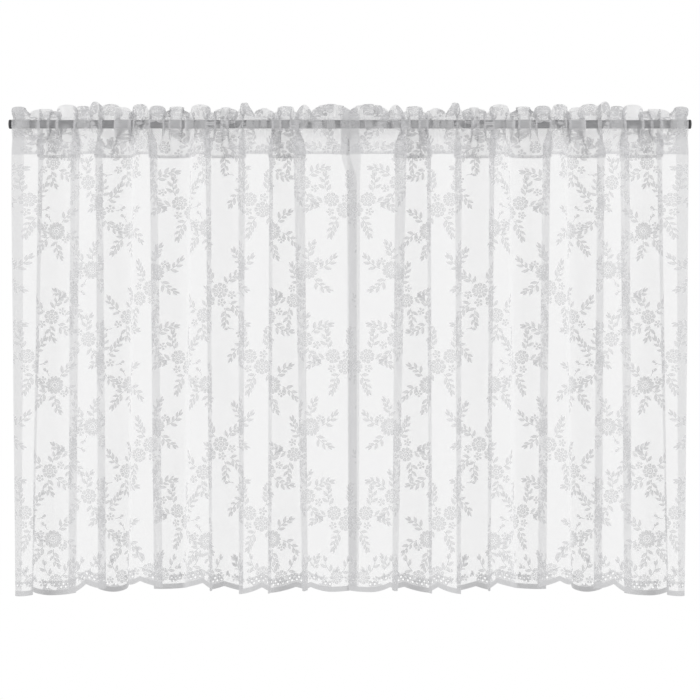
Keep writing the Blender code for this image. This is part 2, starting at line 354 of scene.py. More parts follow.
def ruffles(x, forward):
    """Rise of the frill at each x on the rod, and how its lobes and the gathers on the rod shift it.

    The cloth that lies back holds more gathers than the cloth that stands forward.
    """
    fan = mix(GATHER_FAN_RECESS, GATHER_FAN_CREST, ease(0.5 + forward / GATHER_FAN_DEPTH))
    rise = np.full_like(x, FRILL_VALLEY)
    lobe_aside, lobe_out = np.zeros_like(x), np.zeros_like(x)
    gather_aside, gather_out = np.zeros_like(x), np.zeros_like(x)
    for lobe in LOBES:
        width = lobe.right - lobe.left
        inside = (x > lobe.left) & (x < lobe.right)
        place = np.clip((x - lobe.left) / width, 0.0, 1.0)
        arch = np.sin(math.pi * place)
        rise += np.where(inside, (lobe.rise - FRILL_VALLEY) * arch ** lobe.point, 0.0)
        lobe_out += np.where(inside, lobe.lean * arch, 0.0)
        spread = LOBE_FAN * width / (2 * math.pi)
        lobe_aside -= np.where(inside, spread * np.sin(2 * math.pi * place), 0.0)
        count = 2 * math.floor(width / (2 * GATHER_WIDTH)) + 1
        spread = fan * width / count / (2 * math.pi)
        swing = GATHER_UNEVENNESS * np.sin(2 * math.pi * place)
        uneven = place + swing * math.cos(GATHER_VARIETY * lobe.left)
        gather_aside -= np.where(inside, spread * np.sin(2 * math.pi * uneven * count), 0.0)
        depth = math.copysign(GATHER_DEPTH, lobe.lean)
        gather_out += np.where(inside, depth * np.sin(math.pi * uneven * count), 0.0)
    return rise, Ruffle(lobe_aside, lobe_out), Ruffle(gather_aside, gather_out)


Row = namedtuple("Row", "layer zone place")
FRONT, FOLDED, BACK = 1, 0, -1


def sheet_rows():
    """Every row from the hem up the front, over the frill and down the back to the seam."""
    drop_steps = round((SEAM_HEIGHT - HEM_HEIGHT) / DROP_STEP)
    drop = [Row(FRONT, "drop", 1.0 - step / drop_steps) for step in range(drop_steps + 1)]
    pocket = [Row(FRONT, "pocket", step / POCKET_STEPS) for step in range(1, POCKET_STEPS + 1)]
    over_rod = [Row(FRONT, "rod", angle) for angle in ROD_ANGLES]
    frill = [Row(FRONT, "frill", place) for place in FRILL_PLACES]
    turned = pocket + over_rod + frill
    back = [Row(BACK, row.zone, row.place) for row in reversed(turned)]
    return drop + turned + [Row(FOLDED, "frill", 1.0)] + back + [Row(BACK, "drop", 0.0)]


Cloth = namedtuple("Cloth", "points normals across up ends width length")


def sheet_places(inner_edge):
    """Fold places of the columns, evenly spaced along the cloth, and their distance across it.

    The folds' own length is the mean of what is measured at some heights.
    """
    fine = np.linspace(0, len(FOLDS) * len(FOLD_SECTION) - 1, MEASURED_PLACES)
    lengths = 0.0
    for height in MEASURED_HEIGHTS:
        x, forward = plan_line(np.full_like(fine, height), fine, inner_edge)
        steps = np.hypot(np.diff(x), np.diff(forward))
        lengths = lengths + np.concatenate([[0], np.cumsum(steps)]) / len(MEASURED_HEIGHTS)
    across = np.linspace(0, lengths[-1], round(lengths[-1] / COLUMN_STEP) + 1)
    return np.interp(across, lengths, fine), across


def make_cloth(inner_edge, mirrored, seed):
    """The folded sheet as a grid of points, with every point's place on the flat cloth."""
    places, across = sheet_places(inner_edge)
    ends = scallop_ends(places, across)
    hem_rise = scallop_rise(ends, across)
    x_on_rod, forward_on_rod = plan_line(np.zeros_like(places), places, inner_edge)
    rise, lobes, gathers = ruffles(x_on_rod, forward_on_rod)
    top = ROD_RADIUS + rise
    seam_sag = SEAM_SAG * ease(-forward_on_rod / DEEP_ON_ROD)
    phases = np.random.default_rng(seed).uniform(0, 2 * math.pi, 4)
    points, ups = [], []
    up = SEAM_HEIGHT - HEM_HEIGHT
    previous = None
    for row in sheet_rows():
        height = row_heights(row, top, seam_sag, hem_rise)
        x, forward = plan_line(height, places, inner_edge)
        share = row.place if row.zone == "frill" else 0.0
        kept = 1.0 - changed(GATHERS_FADE, height)
        x = x + kept * mix(gathers.aside, lobes.aside + GATHERS_IN_FRILL * gathers.aside, share)
        ruffle_out = kept * mix(gathers.out, lobes.out + GATHERS_IN_FRILL * gathers.out, share)
        wander = WANDER * np.sin(across * WANDER_CLOSENESS + phases[1])
        waves = np.sin(across * WAVE_CLOSENESS + phases[0] + wander)
        drape = sum(np.sin(height * wave.down + across * wave.across + phase)
                    for wave, phase in zip(BROAD_WAVES, phases[2:]))
        ruffle_out = ruffle_out + SOFT_WAVE * waves * (1.0 - kept) * (1.0 - changed(WAVES_FADE, height))
        ruffle_out = ruffle_out + SOFT_WAVE * drape * changed(FOLDS_OPEN, height)
        round_rod = forward
        if row.zone in ("pocket", "rod"):
            clear = np.sqrt(POCKET_RADIUS ** 2 - np.maximum(height, 0.0) ** 2)
            clear = clear + GATHER_DEPTH * clear / POCKET_RADIUS
            beyond = FOLD_SQUEEZE * (forward * row.layer + DEEPEST_FOLD) * clear / POCKET_RADIUS
            round_rod = (clear + beyond) * row.layer
        forward = mix(round_rod, forward, changed(POCKET_CLOSES, height)) + ruffle_out
        along, out = np.gradient(x), np.gradient(forward)
        stretch = np.hypot(along, out)
        distance = LAYER_SPACING / 2
        if row.zone == "frill":
            swell = np.sin(math.pi * row.place ** FRILL_SWELL)
            distance = distance + FRILL_FULLNESS * (top - STITCH_HEIGHT) * swell
        distance = distance * row.layer
        x = x - out / stretch * distance
        forward = forward + along / stretch * distance
        if row.zone == "drop" and row.layer == FRONT:
            ups.append(height - HEM_HEIGHT + seam_sag * (1.0 - row.place))
        else:
            up += row_advance(row, previous)
            ups.append(np.full_like(x, up))
        previous = row
        points.append(np.stack([x, -forward, height], axis=1))
    points = np.array(points)
    if mirrored:
        points[:, :, 0] = ROD_LENGTH - points[:, :, 0]
    along_rows = np.gradient(points, axis=1)
    along_columns = np.gradient(points, axis=0)
    normals = np.cross(along_rows, along_columns)
    normals /= np.linalg.norm(normals, axis=2, keepdims=True)
    if mirrored:
        normals = -normals
    return Cloth(points, normals, across, np.array(ups), ends, across[-1], up)


def row_heights(row, top, seam_sag, hem_rise):
    """Height of every column of a row."""
    seam = SEAM_HEIGHT - seam_sag
    if row.zone == "drop":
        share = ease((row.place - HEM_STRAIGHT_PLACE) / (1.0 - HEM_STRAIGHT_PLACE))
        return mix(seam, HEM_HEIGHT, row.place) + hem_rise * share
    if row.zone == "pocket":
        return seam * (1.0 - row.place)
    if row.zone == "rod":
        return np.full_like(top, POCKET_RADIUS * math.sin(math.radians(row.place)))
    return mix(STITCH_HEIGHT, top, row.place)


def row_advance(row, previous):
    """Length of flat cloth between a row and the one before it."""
    def reach(one):
        if one.zone == "drop":
            return 0.0
        if one.zone == "pocket":
            return -SEAM_HEIGHT * one.place
        if one.zone == "rod":
            return -SEAM_HEIGHT + POCKET_RADIUS * math.radians(one.place)
        return -SEAM_HEIGHT + POCKET_RADIUS * math.pi / 2 + FRILL_LENGTH * one.place
    return abs(reach(row) - reach(previous))


def on_cloth(cloth, flat, lift):
    """Carries flat points onto the folded sheet, lifted a little off its outer side."""
    spots = np.interp(flat[:, 0], cloth.across, np.arange(len(cloth.across)))
    left = np.minimum(spots.astype(int), len(cloth.across) - 2)
    part = spots - left
    ups = mix(cloth.up[:, left], cloth.up[:, left + 1], part)
    low = np.clip((ups <= flat[:, 1]).sum(axis=0) - 1, 0, len(cloth.up) - 2)
    here = np.take_along_axis(ups, low[None], axis=0)[0]
    there = np.take_along_axis(ups, low[None] + 1, axis=0)[0]
    rise = np.clip((flat[:, 1] - here) / (there - here), 0.0, 1.0)[:, None]
    part = part[:, None]

    def blend(grid):
        lower = mix(grid[low, left], grid[low, left + 1], part)
        upper = mix(grid[low + 1, left], grid[low + 1, left + 1], part)
        return mix(lower, upper, rise)
    return blend(cloth.points) + blend(cloth.normals) * lift


def mesh_object(name, points, faces, material, uvs):
    """A mesh piece from arrays, with a UV map for each entry of uvs."""
    mesh = bpy.data.meshes.new(name)
    mesh.from_pydata(points.tolist(), [], faces.tolist())
    corners = np.empty(len(mesh.loops), dtype=np.int32)
    mesh.loops.foreach_get("vertex_index", corners)
    for uv_name, places in uvs.items():
        layer = mesh.uv_layers.new(name=uv_name)
        layer.data.foreach_set("uv", places[corners].astype(np.float32).ravel())
    mesh.materials.append(material)
    mesh.shade_smooth()
    mesh.update()
    piece = bpy.data.objects.new(name, mesh)
    bpy.context.scene.collection.objects.link(piece)
    return piece


def above_edge(cloth, flat):
    """How far flat places lie above the scalloped edge."""
    return flat[:, 1] - scallop_rise(cloth.ends, flat[:, 0])


def make_net(name, cloth, material, mirrored):
    """The sheet itself."""
    rows, columns = cloth.up.shape
    flat = np.stack([np.broadcast_to(cloth.across, cloth.up.shape), cloth.up], axis=2).reshape(-1, 2)
    first = (np.arange(rows - 1)[:, None] * columns + np.arange(columns - 1)[None, :]).ravel()
    faces = np.stack([first, first + 1, first + columns + 1, first + columns], axis=1)
    if mirrored:
        faces = faces[:, ::-1]
    return mesh_object(name, cloth.points.reshape(-1, 3), faces, material,
                       {"flat": flat, "hem": np.stack([flat[:, 0], above_edge(cloth, flat)], axis=1)})


class Lace:
    """Ribbons of dense lace laid out on the flat cloth."""

    def __init__(self):
        self.points = []
        self.lanes = []
        self.faces = []
        self.count = 0

    def ribbon(self, centre, half_widths, closed=False, across=2):
        """A strip along a centre line, with its own half width at each point of the line."""
        centre = np.asarray(centre, float)
        half_widths = np.broadcast_to(half_widths, len(centre))
        if closed:
            run = np.roll(centre, -1, axis=0) - np.roll(centre, 1, axis=0)
        else:
            run = np.gradient(centre, axis=0)
        run /= np.maximum(np.linalg.norm(run, axis=1, keepdims=True), 1e-9)
        side = np.stack([-run[:, 1], run[:, 0]], axis=1) * half_widths[:, None]
        shares = np.linspace(-1, 1, across + 1)
        points = centre[:, None, :] + side[:, None, :] * shares[None, :, None]
        steps = len(centre) if closed else len(centre) - 1
        width = across + 1
        for step in range(steps):
            here, there = step * width, (step + 1) % len(centre) * width
            for lane in range(across):
                corner = self.count
                self.faces.append((corner + here + lane + 1, corner + here + lane,
                                   corner + there + lane, corner + there + lane + 1))
        self.points.append(points.reshape(-1, 2))
        self.lanes.append(np.tile(shares, len(centre)))
        self.count += len(centre) * width

    def add(self, other, place, turn=0.0, flip=False):
        """Another layout turned, or flipped upside down, and put at a place."""
        cosine, sine = math.cos(turn), math.sin(turn)
        rotate = np.array([[cosine, sine], [-sine, cosine]])
        moved = np.concatenate(other.points) @ rotate
        if flip:
            moved = moved * (1.0, -1.0)
        moved = moved + np.asarray(place)
        order = -1 if flip else 1
        self.faces += [tuple(corner + self.count for corner in face[::order]) for face in other.faces]
        self.points.append(moved)
        self.lanes += other.lanes
        self.count += other.count


def arc_line(length, bend, steps):
    """Points of a line that leaves the origin along +X and turns by bend radians on its way."""
    shares = np.linspace(0, 1, steps)
    angles = bend * shares
    step = length / (steps - 1)
    x = np.concatenate([[0], np.cumsum(np.cos(angles[:-1] + np.diff(angles) / 2))]) * step
    y = np.concatenate([[0], np.cumsum(np.sin(angles[:-1] + np.diff(angles) / 2))]) * step
    return np.stack([x, y], axis=1)


# Leaves: how many rows of points they have, the two powers that shape their outline, and half the
# width of their tips
LEAF_STEPS = 6
LEAF_SKEW = 0.85
LEAF_ROUNDNESS = 0.75
LEAF_TIP = 0.00012

# Petals, in shares of their length and width
PetalPoint = namedtuple("PetalPoint", "along width")
PETAL = (
    PetalPoint(0.00, 0.34),
    PetalPoint(0.25, 0.74),
    PetalPoint(0.55, 1.00),
    PetalPoint(0.80, 0.90),
    PetalPoint(0.94, 0.58),
    PetalPoint(1.00, 0.10),
)

# Flowers, in shares of their radius: the eye, the ring round it with half its width and how deep its
# waves are, and the petals with their number, start and width
FlowerForm = namedtuple("FlowerForm", "eye ring band wave petals start width")
FLOWERS = {
    "rose": FlowerForm(0.09, 0.33, 0.10, 0.12, 8, 0.49, 0.56),
    "daisy": FlowerForm(0.09, 0.33, 0.06, 0.00, 13, 0.42, 0.36),
    "flower": FlowerForm(0.13, 0.00, 0.00, 0.00, 5, 0.32, 0.62),
}
PETALS_END = 1.02
RING_STEP = 0.0019
LEAST_RING_STEPS = 8
RING_WAVES = 4
RING_TURN = 0.4

# Leafy sprays. A taper holds a value at the stem's root and one at its tip
Taper = namedtuple("Taper", "root tip")
LEAF_LENGTH = 0.0116
LEAF_SHARE = 0.40
LEAF_TURN = Taper(1.05, 0.60)
LEAF_SIZE = Taper(1.0, 0.80)
LEAF_UNEVENNESS = 0.12
LEAF_VARIETY = 2.4
LEAF_CURL = 0.35
LEAF_START = 0.0006
TIP_LEAF_LENGTH = 0.90
TIP_LEAF_WIDTH = 0.33
FIRST_LEAF = 0.06
LEAVES_SPREAD = 0.90
SPRAY_STEPS = 12
SPRAY_STEM_SHARE = 0.80
SPRAY_STEM_WIDTH = 0.0013

# Buds, in shares of their length and in radians: the size of the petal and of the leaf, where they
# start beside the stem's root and the way they point
BudPiece = namedtuple("BudPiece", "length width along above turn")
BUD_PETAL = BudPiece(0.42, 0.30, 0.57, 0.14, 0.5)
BUD_LEAF = BudPiece(0.30, 0.11, 0.42, 0.08, -0.4)
BUD_STEM_SHARE = 0.6
BUD_STEM_BEND = 0.5
BUD_STEM_WIDTH = 0.0011
BUD_STEM_STEPS = 4


def leaf(length, width, bend):
    """One pointed leaf along +X."""
    shape = Lace()
    shares = np.linspace(0, 1, LEAF_STEPS)
    outline = np.sin(math.pi * shares ** LEAF_SKEW) ** LEAF_ROUNDNESS * width / 2 + LEAF_TIP
    shape.ribbon(arc_line(length, bend, LEAF_STEPS), outline)
    return shape


def petal(length, width):
    """One round-ended petal along +X."""
    shape = Lace()
    shares, widths = np.array(PETAL).T
    shape.ribbon(np.stack([shares * length, np.zeros(len(shares))], axis=1), widths * width / 2)
    return shape


def ring(radius, half_width, wave=0.0):
    """A round band, wavy where wave gives its waves a depth."""
    shape = Lace()
    steps = max(LEAST_RING_STEPS, round(2 * math.pi * radius / RING_STEP))
    angles = np.linspace(0, 2 * math.pi, steps, endpoint=False)
    reach = radius * (1 + wave * np.abs(np.cos(angles * RING_WAVES / 2 + RING_TURN)))
    centre = np.stack([np.cos(angles) * reach, np.sin(angles) * reach], axis=1)
    shape.ribbon(centre, half_width, closed=True, across=1)
    return shape


def flower(kind, radius):
    """Petals round an eye, with a ring between them where the kind has one."""
    form = FLOWERS[kind]
    shape = Lace()
    shape.add(ring(radius * form.eye, radius * form.eye), (0, 0))
    if form.ring:
        shape.add(ring(radius * form.ring, radius * form.band, form.wave), (0, 0))
    inner, outer = radius * form.start, radius * PETALS_END
    for index in range(form.petals):
        angle = 2 * math.pi * index / form.petals
        start = (math.cos(angle) * inner, math.sin(angle) * inner)
        shape.add(petal(outer - inner, radius * form.width), start, angle)
    return shape


def spray(length, leaves, bend):
    """A curved stem with leaves set on its two sides in turn, and one at its tip."""
    shape = Lace()
    line = arc_line(length * SPRAY_STEM_SHARE, bend, SPRAY_STEPS)
    shape.ribbon(line, SPRAY_STEM_WIDTH / 2, across=1)
    for index in range(leaves - 1):
        share = FIRST_LEAF + LEAVES_SPREAD * index / max(leaves - 2, 1)
        spot = share * (SPRAY_STEPS - 1)
        low = min(int(spot), SPRAY_STEPS - 2)
        place = mix(line[low], line[low + 1], spot - low)
        side = 1 if index % 2 else -1
        turn = bend * share + side * mix(*LEAF_TURN, share)
        uneven = 1.0 + LEAF_UNEVENNESS * math.sin(index * LEAF_VARIETY)
        size = LEAF_LENGTH * mix(*LEAF_SIZE, share) * uneven
        start = (place[0] + math.cos(turn) * LEAF_START, place[1] + math.sin(turn) * LEAF_START)
        shape.add(leaf(size, size * LEAF_SHARE, -LEAF_CURL * side), start, turn)
    tip = leaf(LEAF_LENGTH * TIP_LEAF_LENGTH, LEAF_LENGTH * TIP_LEAF_WIDTH, 0.0)
    shape.add(tip, line[-1], bend)
    return shape


def bud(length):
    """A closed bud on a short stem, with one leaf."""
    shape = Lace()
    line = arc_line(length * BUD_STEM_SHARE, BUD_STEM_BEND, BUD_STEM_STEPS)
    shape.ribbon(line, BUD_STEM_WIDTH / 2, across=1)
    shape.add(petal(length * BUD_PETAL.length, length * BUD_PETAL.width),
              (length * BUD_PETAL.along, length * BUD_PETAL.above), BUD_PETAL.turn)
    shape.add(leaf(length * BUD_LEAF.length, length * BUD_LEAF.width, 0.0),
              (length * BUD_LEAF.along, length * BUD_LEAF.above), BUD_LEAF.turn)
    return shape


# One garland of the lace, in millimetres and degrees: kind, place across and up, the way it points
# and its size, which is a flower's radius or the length of a spray or bud
MILLIMETRE = 0.001
Motif = namedtuple("Motif", "kind across up turn size")
GARLAND = (
    Motif("rose", 0, 0, 0, 12.0),
    Motif("rose", -19, 16, 30, 11.0),
    Motif("flower", 2, 19, 0, 6.5),
    Motif("flower", 18, 7, 20, 6.5),
    Motif("flower", -21, -3, 40, 6.0),
    Motif("spray", 6, 27, 66, 30),
    Motif("spray", 14, 20, 30, 36),
    Motif("spray", -25, 28, 116, 30),
    Motif("spray", -31, 12, 182, 30),
    Motif("spray", -9, -12, 226, 34),
    Motif("spray", 10, -10, -62, 34),
    Motif("bud", 26, 4, 4, 15),
    Motif("daisy", 51, -28, 0, 14.0),
    Motif("flower", 32, -20, 15, 6.0),
    Motif("flower", 66, -41, 50, 6.0),
    Motif("spray", 39, -38, 214, 34),
    Motif("spray", 52, -44, -98, 30),
    Motif("spray", 68, -30, -20, 32),
    Motif("spray", 60, -14, 60, 30),
    Motif("bud", 42, -14, 106, 15),
    Motif("rose", -60, 42, 50, 11.5),
    Motif("flower", -43, 33, 0, 6.0),
    Motif("flower", -75, 53, 25, 6.0),
    Motif("spray", -50, 53, 48, 34),
    Motif("spray", -62, 55, 100, 26),
    Motif("spray", -71, 34, 206, 32),
    Motif("spray", -56, 29, -78, 28),
    Motif("bud", -84, 60, 160, 15),
)
SPRAY_LEAF_SPACE = 0.0043
SPRAY_BEND = 0.7

# One repeat of the lace, where the garland's middle lies in it, and whether it is upside down there
CELL_WIDTH = 0.210
CELL_HEIGHT = 0.242
Placing = namedtuple("Placing", "across up flipped")
PLACINGS = (Placing(0.040, 0.110, False), Placing(0.145, 0.231, True))
EDGE_CLEARANCE = 0.030

# What stands above the close band in each repeat of the border: how far beside the repeat's middle
# and above the scalloped edge it starts, and the way it points in radians
BORDER_REPEAT = 0.064
BAND_STEP = 0.0018
BorderMotif = namedtuple("BorderMotif", "shape beside above turn")
BORDER_MOTIFS = (
    BorderMotif(flower("rose", 0.0105), 0.0000, 0.0225, 0.00),
    BorderMotif(flower("flower", 0.0060), -0.0200, 0.0185, 0.40),
    BorderMotif(flower("flower", 0.0060), 0.0195, 0.0180, 0.10),
    BorderMotif(spray(0.024, 4, 0.6), 0.0090, 0.0290, 0.75),
    BorderMotif(spray(0.024, 4, -0.6), -0.0095, 0.0300, 2.35),
    BorderMotif(leaf(0.010, 0.0038, 0.25), 0.0290, 0.0170, 1.10),
    BorderMotif(leaf(0.010, 0.0038, 0.25), -0.0290, 0.0170, 2.00),
)

# Close leaves of the heading, which follow each other along it: how far each spray starts above the
# middle of the frill or of the pocket, and the way it points in degrees. A rose follows every second
# one, by a share of the pitch
FRILL_PITCH = 0.027
POCKET_PITCH = 0.056
HEADING_MARGIN = 0.012
HEADING_SPRAY = spray(0.026, 6, 0.5)
HEADING_ROSE = flower("rose", 0.0090)
HEADING_ROSE_SHIFT = 0.3
HEADING_ROSE_ABOVE = -0.008
HEADING_ROSE_TURN = 0.3
HeadingSpray = namedtuple("HeadingSpray", "above turn")
FRILL_SPRAYS = (
    HeadingSpray(-0.016, 52),
    HeadingSpray(0.014, 128),
    HeadingSpray(-0.005, 325),
    HeadingSpray(0.018, 236),
)
POCKET_SPRAYS = (
    HeadingSpray(-0.014, 28),
    HeadingSpray(0.002, 205),
    HeadingSpray(-0.008, -20),
    HeadingSpray(-0.016, 150),
)


def motif_shape(motif):
    """The shape of one motif of the garland. Some sprays bend one way and some the other."""
    size = motif.size * MILLIMETRE
    if motif.kind == "bud":
        return bud(size)
    if motif.kind == "spray":
        bend = SPRAY_BEND if motif.turn % 4 else -SPRAY_BEND
        return spray(size, round(size / SPRAY_LEAF_SPACE), bend)
    return flower(motif.kind, size)


def garland_layout():
    """One garland, its middle at the origin."""
    layout = Lace()
    for motif in GARLAND:
        place = (motif.across * MILLIMETRE, motif.up * MILLIMETRE)
        layout.add(motif_shape(motif), place, math.radians(motif.turn))
    return layout


def field_layout(cloth):
    """The repeated garlands over the whole flat curtain."""
    layout = Lace()
    plain = garland_layout()
    for column in range(-1, math.ceil(cloth.width / CELL_WIDTH) + 1):
        for row in range(-1, math.ceil(cloth.length / CELL_HEIGHT) + 1):
            for placing in PLACINGS:
                place = (column * CELL_WIDTH + placing.across, row * CELL_HEIGHT + placing.up)
                layout.add(plain, place, flip=placing.flipped)
    return layout


def heading_layout(cloth):
    """Close leaves and roses along the frill and the front of the pocket."""
    layout = Lace()
    frill = STITCH_UP + FRILL_LENGTH
    pocket = SEAM_UP - SEAM_HEIGHT / 2
    rows = ((frill, FRILL_SPRAYS, FRILL_PITCH), (pocket, POCKET_SPRAYS, POCKET_PITCH))
    for middle, sprays, pitch in rows:
        for index, across in enumerate(np.arange(HEADING_MARGIN, cloth.width - HEADING_MARGIN, pitch)):
            one = sprays[index % len(sprays)]
            layout.add(HEADING_SPRAY, (across, middle + one.above), math.radians(one.turn))
            if index % 2 == 1:
                place = (across + pitch * HEADING_ROSE_SHIFT, middle + HEADING_ROSE_ABOVE)
                layout.add(HEADING_ROSE, place, HEADING_ROSE_TURN)
    return layout


def border_layout(cloth):
    """The scalloped edge: a close band, and a rose, flowers and leaves above it in each repeat."""
    layout = Lace()
    line = np.arange(0.0, cloth.width, BAND_STEP)
    centre = np.stack([line, scallop_rise(cloth.ends, line) + EDGE_BAND / 2], axis=1)
    layout.ribbon(centre, EDGE_BAND / 2, across=1)
    for middle in np.arange(BORDER_REPEAT / 2, cloth.width, BORDER_REPEAT):
        for motif in BORDER_MOTIFS:
            across = middle + motif.beside
            edge = float(scallop_rise(cloth.ends, np.array([across]))[0])
            layout.add(motif.shape, (across, edge + motif.above), motif.turn)
    return layout


def stitch_layout(cloth, up):
    """A row of small stitches across the cloth."""
    layout = Lace()
    for across in np.arange(STITCH_MARGIN, cloth.width - STITCH_MARGIN, STITCH_PITCH):
        middle = (across + STITCH_LENGTH / 2, up + STITCH_BULGE)
        line = ((across, up), middle, (across + STITCH_LENGTH, up))
        layout.ribbon(line, THREAD_WIDTH / 2, across=1)
    return layout


def make_lace(name, cloth, layout, material, mirrored, lift, lowest=0.0):
    """Carries a layout onto the cloth, leaving out what lies past the cloth's edges."""
    flat = np.concatenate(layout.points)
    faces = np.array(layout.faces)
    hem = above_edge(cloth, flat)
    inside = (flat[:, 0] >= 0) & (flat[:, 0] <= cloth.width)
    inside &= (hem >= lowest) & (flat[:, 1] <= cloth.length)
    faces = faces[inside[faces].all(axis=1)]
    used, faces = np.unique(faces, return_inverse=True)
    faces = faces.reshape(-1, 4)
    flat = flat[used]
    if mirrored:
        faces = faces[:, ::-1]
    lanes = np.concatenate(layout.lanes)[used]
    return mesh_object(name, on_cloth(cloth, flat, lift), faces, material,
                       {"flat": flat, "lane": np.stack([lanes, lanes], axis=1)})


def new_material(name):
    material = bpy.data.materials.new(name)
    material.use_nodes = True
    tree = material.node_tree
    tree.nodes.clear()
    output = tree.nodes.new("ShaderNodeOutputMaterial")
    return material, tree, output


def add_node(tree, kind, inputs):
    """A node of some kind, with inputs that are fed by sockets or set to values."""
    node = tree.nodes.new("ShaderNode" + kind)
    for key, value in inputs.items():
        if isinstance(value, bpy.types.NodeSocket):
            tree.links.new(value, node.inputs[key])
        else:
            node.inputs[key].default_value = value
    return node


def add_math(tree, operation, *values):
    """A math node fed by sockets or numbers."""
    node = add_node(tree, "Math", dict(enumerate(values)))
    node.operation = operation
    return node.outputs[0]


def add_between(tree, value, low, high):
    """1 where the value lies between low and high, else 0."""
    above = add_math(tree, "GREATER_THAN", value, low)
    below = add_math(tree, "LESS_THAN", value, high)
    return add_math(tree, "MULTIPLY", above, below)


def flat_sockets(tree, uv_name):
    """Sockets for a point's place across and up the flat cloth."""
    uv = tree.nodes.new("ShaderNodeUVMap")
    uv.uv_map = uv_name
    split = add_node(tree, "SeparateXYZ", {0: uv.outputs["UV"]})
    return split.outputs[0], split.outputs[1]


def add_threads(tree, across, up, slope, share):
    """1 on a family of slanting threads: slope is how they lean, share how much they cover."""
    slanted = add_math(tree, "ADD", across, add_math(tree, "MULTIPLY", up, slope))
    turn = add_math(tree, "FRACT", add_math(tree, "DIVIDE", slanted, NET_PITCH))
    return add_math(tree, "LESS_THAN", turn, share)


# Yarn: its colour, and the share of its light that comes through from behind
Yarn = namedtuple("Yarn", "colour glow")
NET_YARN = Yarn((0.86, 0.86, 0.87), 0.45)
MOTIF_YARN = Yarn((0.87, 0.87, 0.88), 0.35)
STITCH_YARN = Yarn((0.82, 0.82, 0.83), 0.2)


def cloth_shader(tree, yarn):
    """White yarn that is lit from the front and glows with light from behind."""
    colour = {"Color": (*yarn.colour, 1.0)}
    front = add_node(tree, "BsdfDiffuse", colour).outputs[0]
    back = add_node(tree, "BsdfTranslucent", colour).outputs[0]
    return add_node(tree, "MixShader", {0: yarn.glow, 1: front, 2: back}).outputs[0]


def show_through(tree, output, surface, cover):
    """Mixes a surface with clear air by how much its yarn covers."""
    clear = add_node(tree, "BsdfTransparent", {}).outputs[0]
    blend = add_node(tree, "MixShader", {0: cover, 1: clear, 2: surface})
    tree.links.new(blend.outputs[0], output.inputs["Surface"])


def eyelet_reach(tree, across, from_edge, row):
    """Distance of a point from the nearest eyelet of one row."""
    turn = add_math(tree, "FRACT", add_math(tree, "DIVIDE", add_math(tree, "ADD", across, row.shift),
                                            EYELET_PITCH))
    aside = add_math(tree, "MULTIPLY", add_math(tree, "SUBTRACT", turn, 0.5), EYELET_PITCH)
    above = add_math(tree, "SUBTRACT", from_edge, row.height)
    return add_math(tree, "SQRT", add_math(tree, "ADD", add_math(tree, "MULTIPLY", aside, aside),
                                           add_math(tree, "MULTIPLY", above, above)))


def stretched_noise(tree, place, scale, detail):
    """Noise with its own scale along each axis."""
    stretch = add_node(tree, "Mapping", {"Vector": place, "Scale": scale})
    inputs = {"Vector": stretch.outputs["Vector"], "Scale": 1.0, "Detail": detail}
    return add_node(tree, "TexNoise", inputs).outputs["Fac"]


def fine_pleats(tree, place, up):
    """How closely the net is pressed into pleats too fine to model: patches on the rod that fade away
    up the frill and down the pocket."""
    noise = stretched_noise(tree, place, PLEATS_SCALE, 2.0)
    levels = {"Value": noise, "From Min": PLEATS_FAINT, "From Max": PLEATS_FULL}
    patch = add_node(tree, "MapRange", levels)
    away = add_math(tree, "ABSOLUTE", add_math(tree, "SUBTRACT", up, PLEATS_UP))
    reach = {"Value": away, "From Min": PLEATS_CLOSE, "From Max": PLEATS_GONE, "To Min": 1.0, "To Max": 0.0}
    near = add_node(tree, "MapRange", reach)
    near.interpolation_type = "SMOOTHSTEP"
    return add_math(tree, "MULTIPLY", patch.outputs["Result"], near.outputs["Result"])


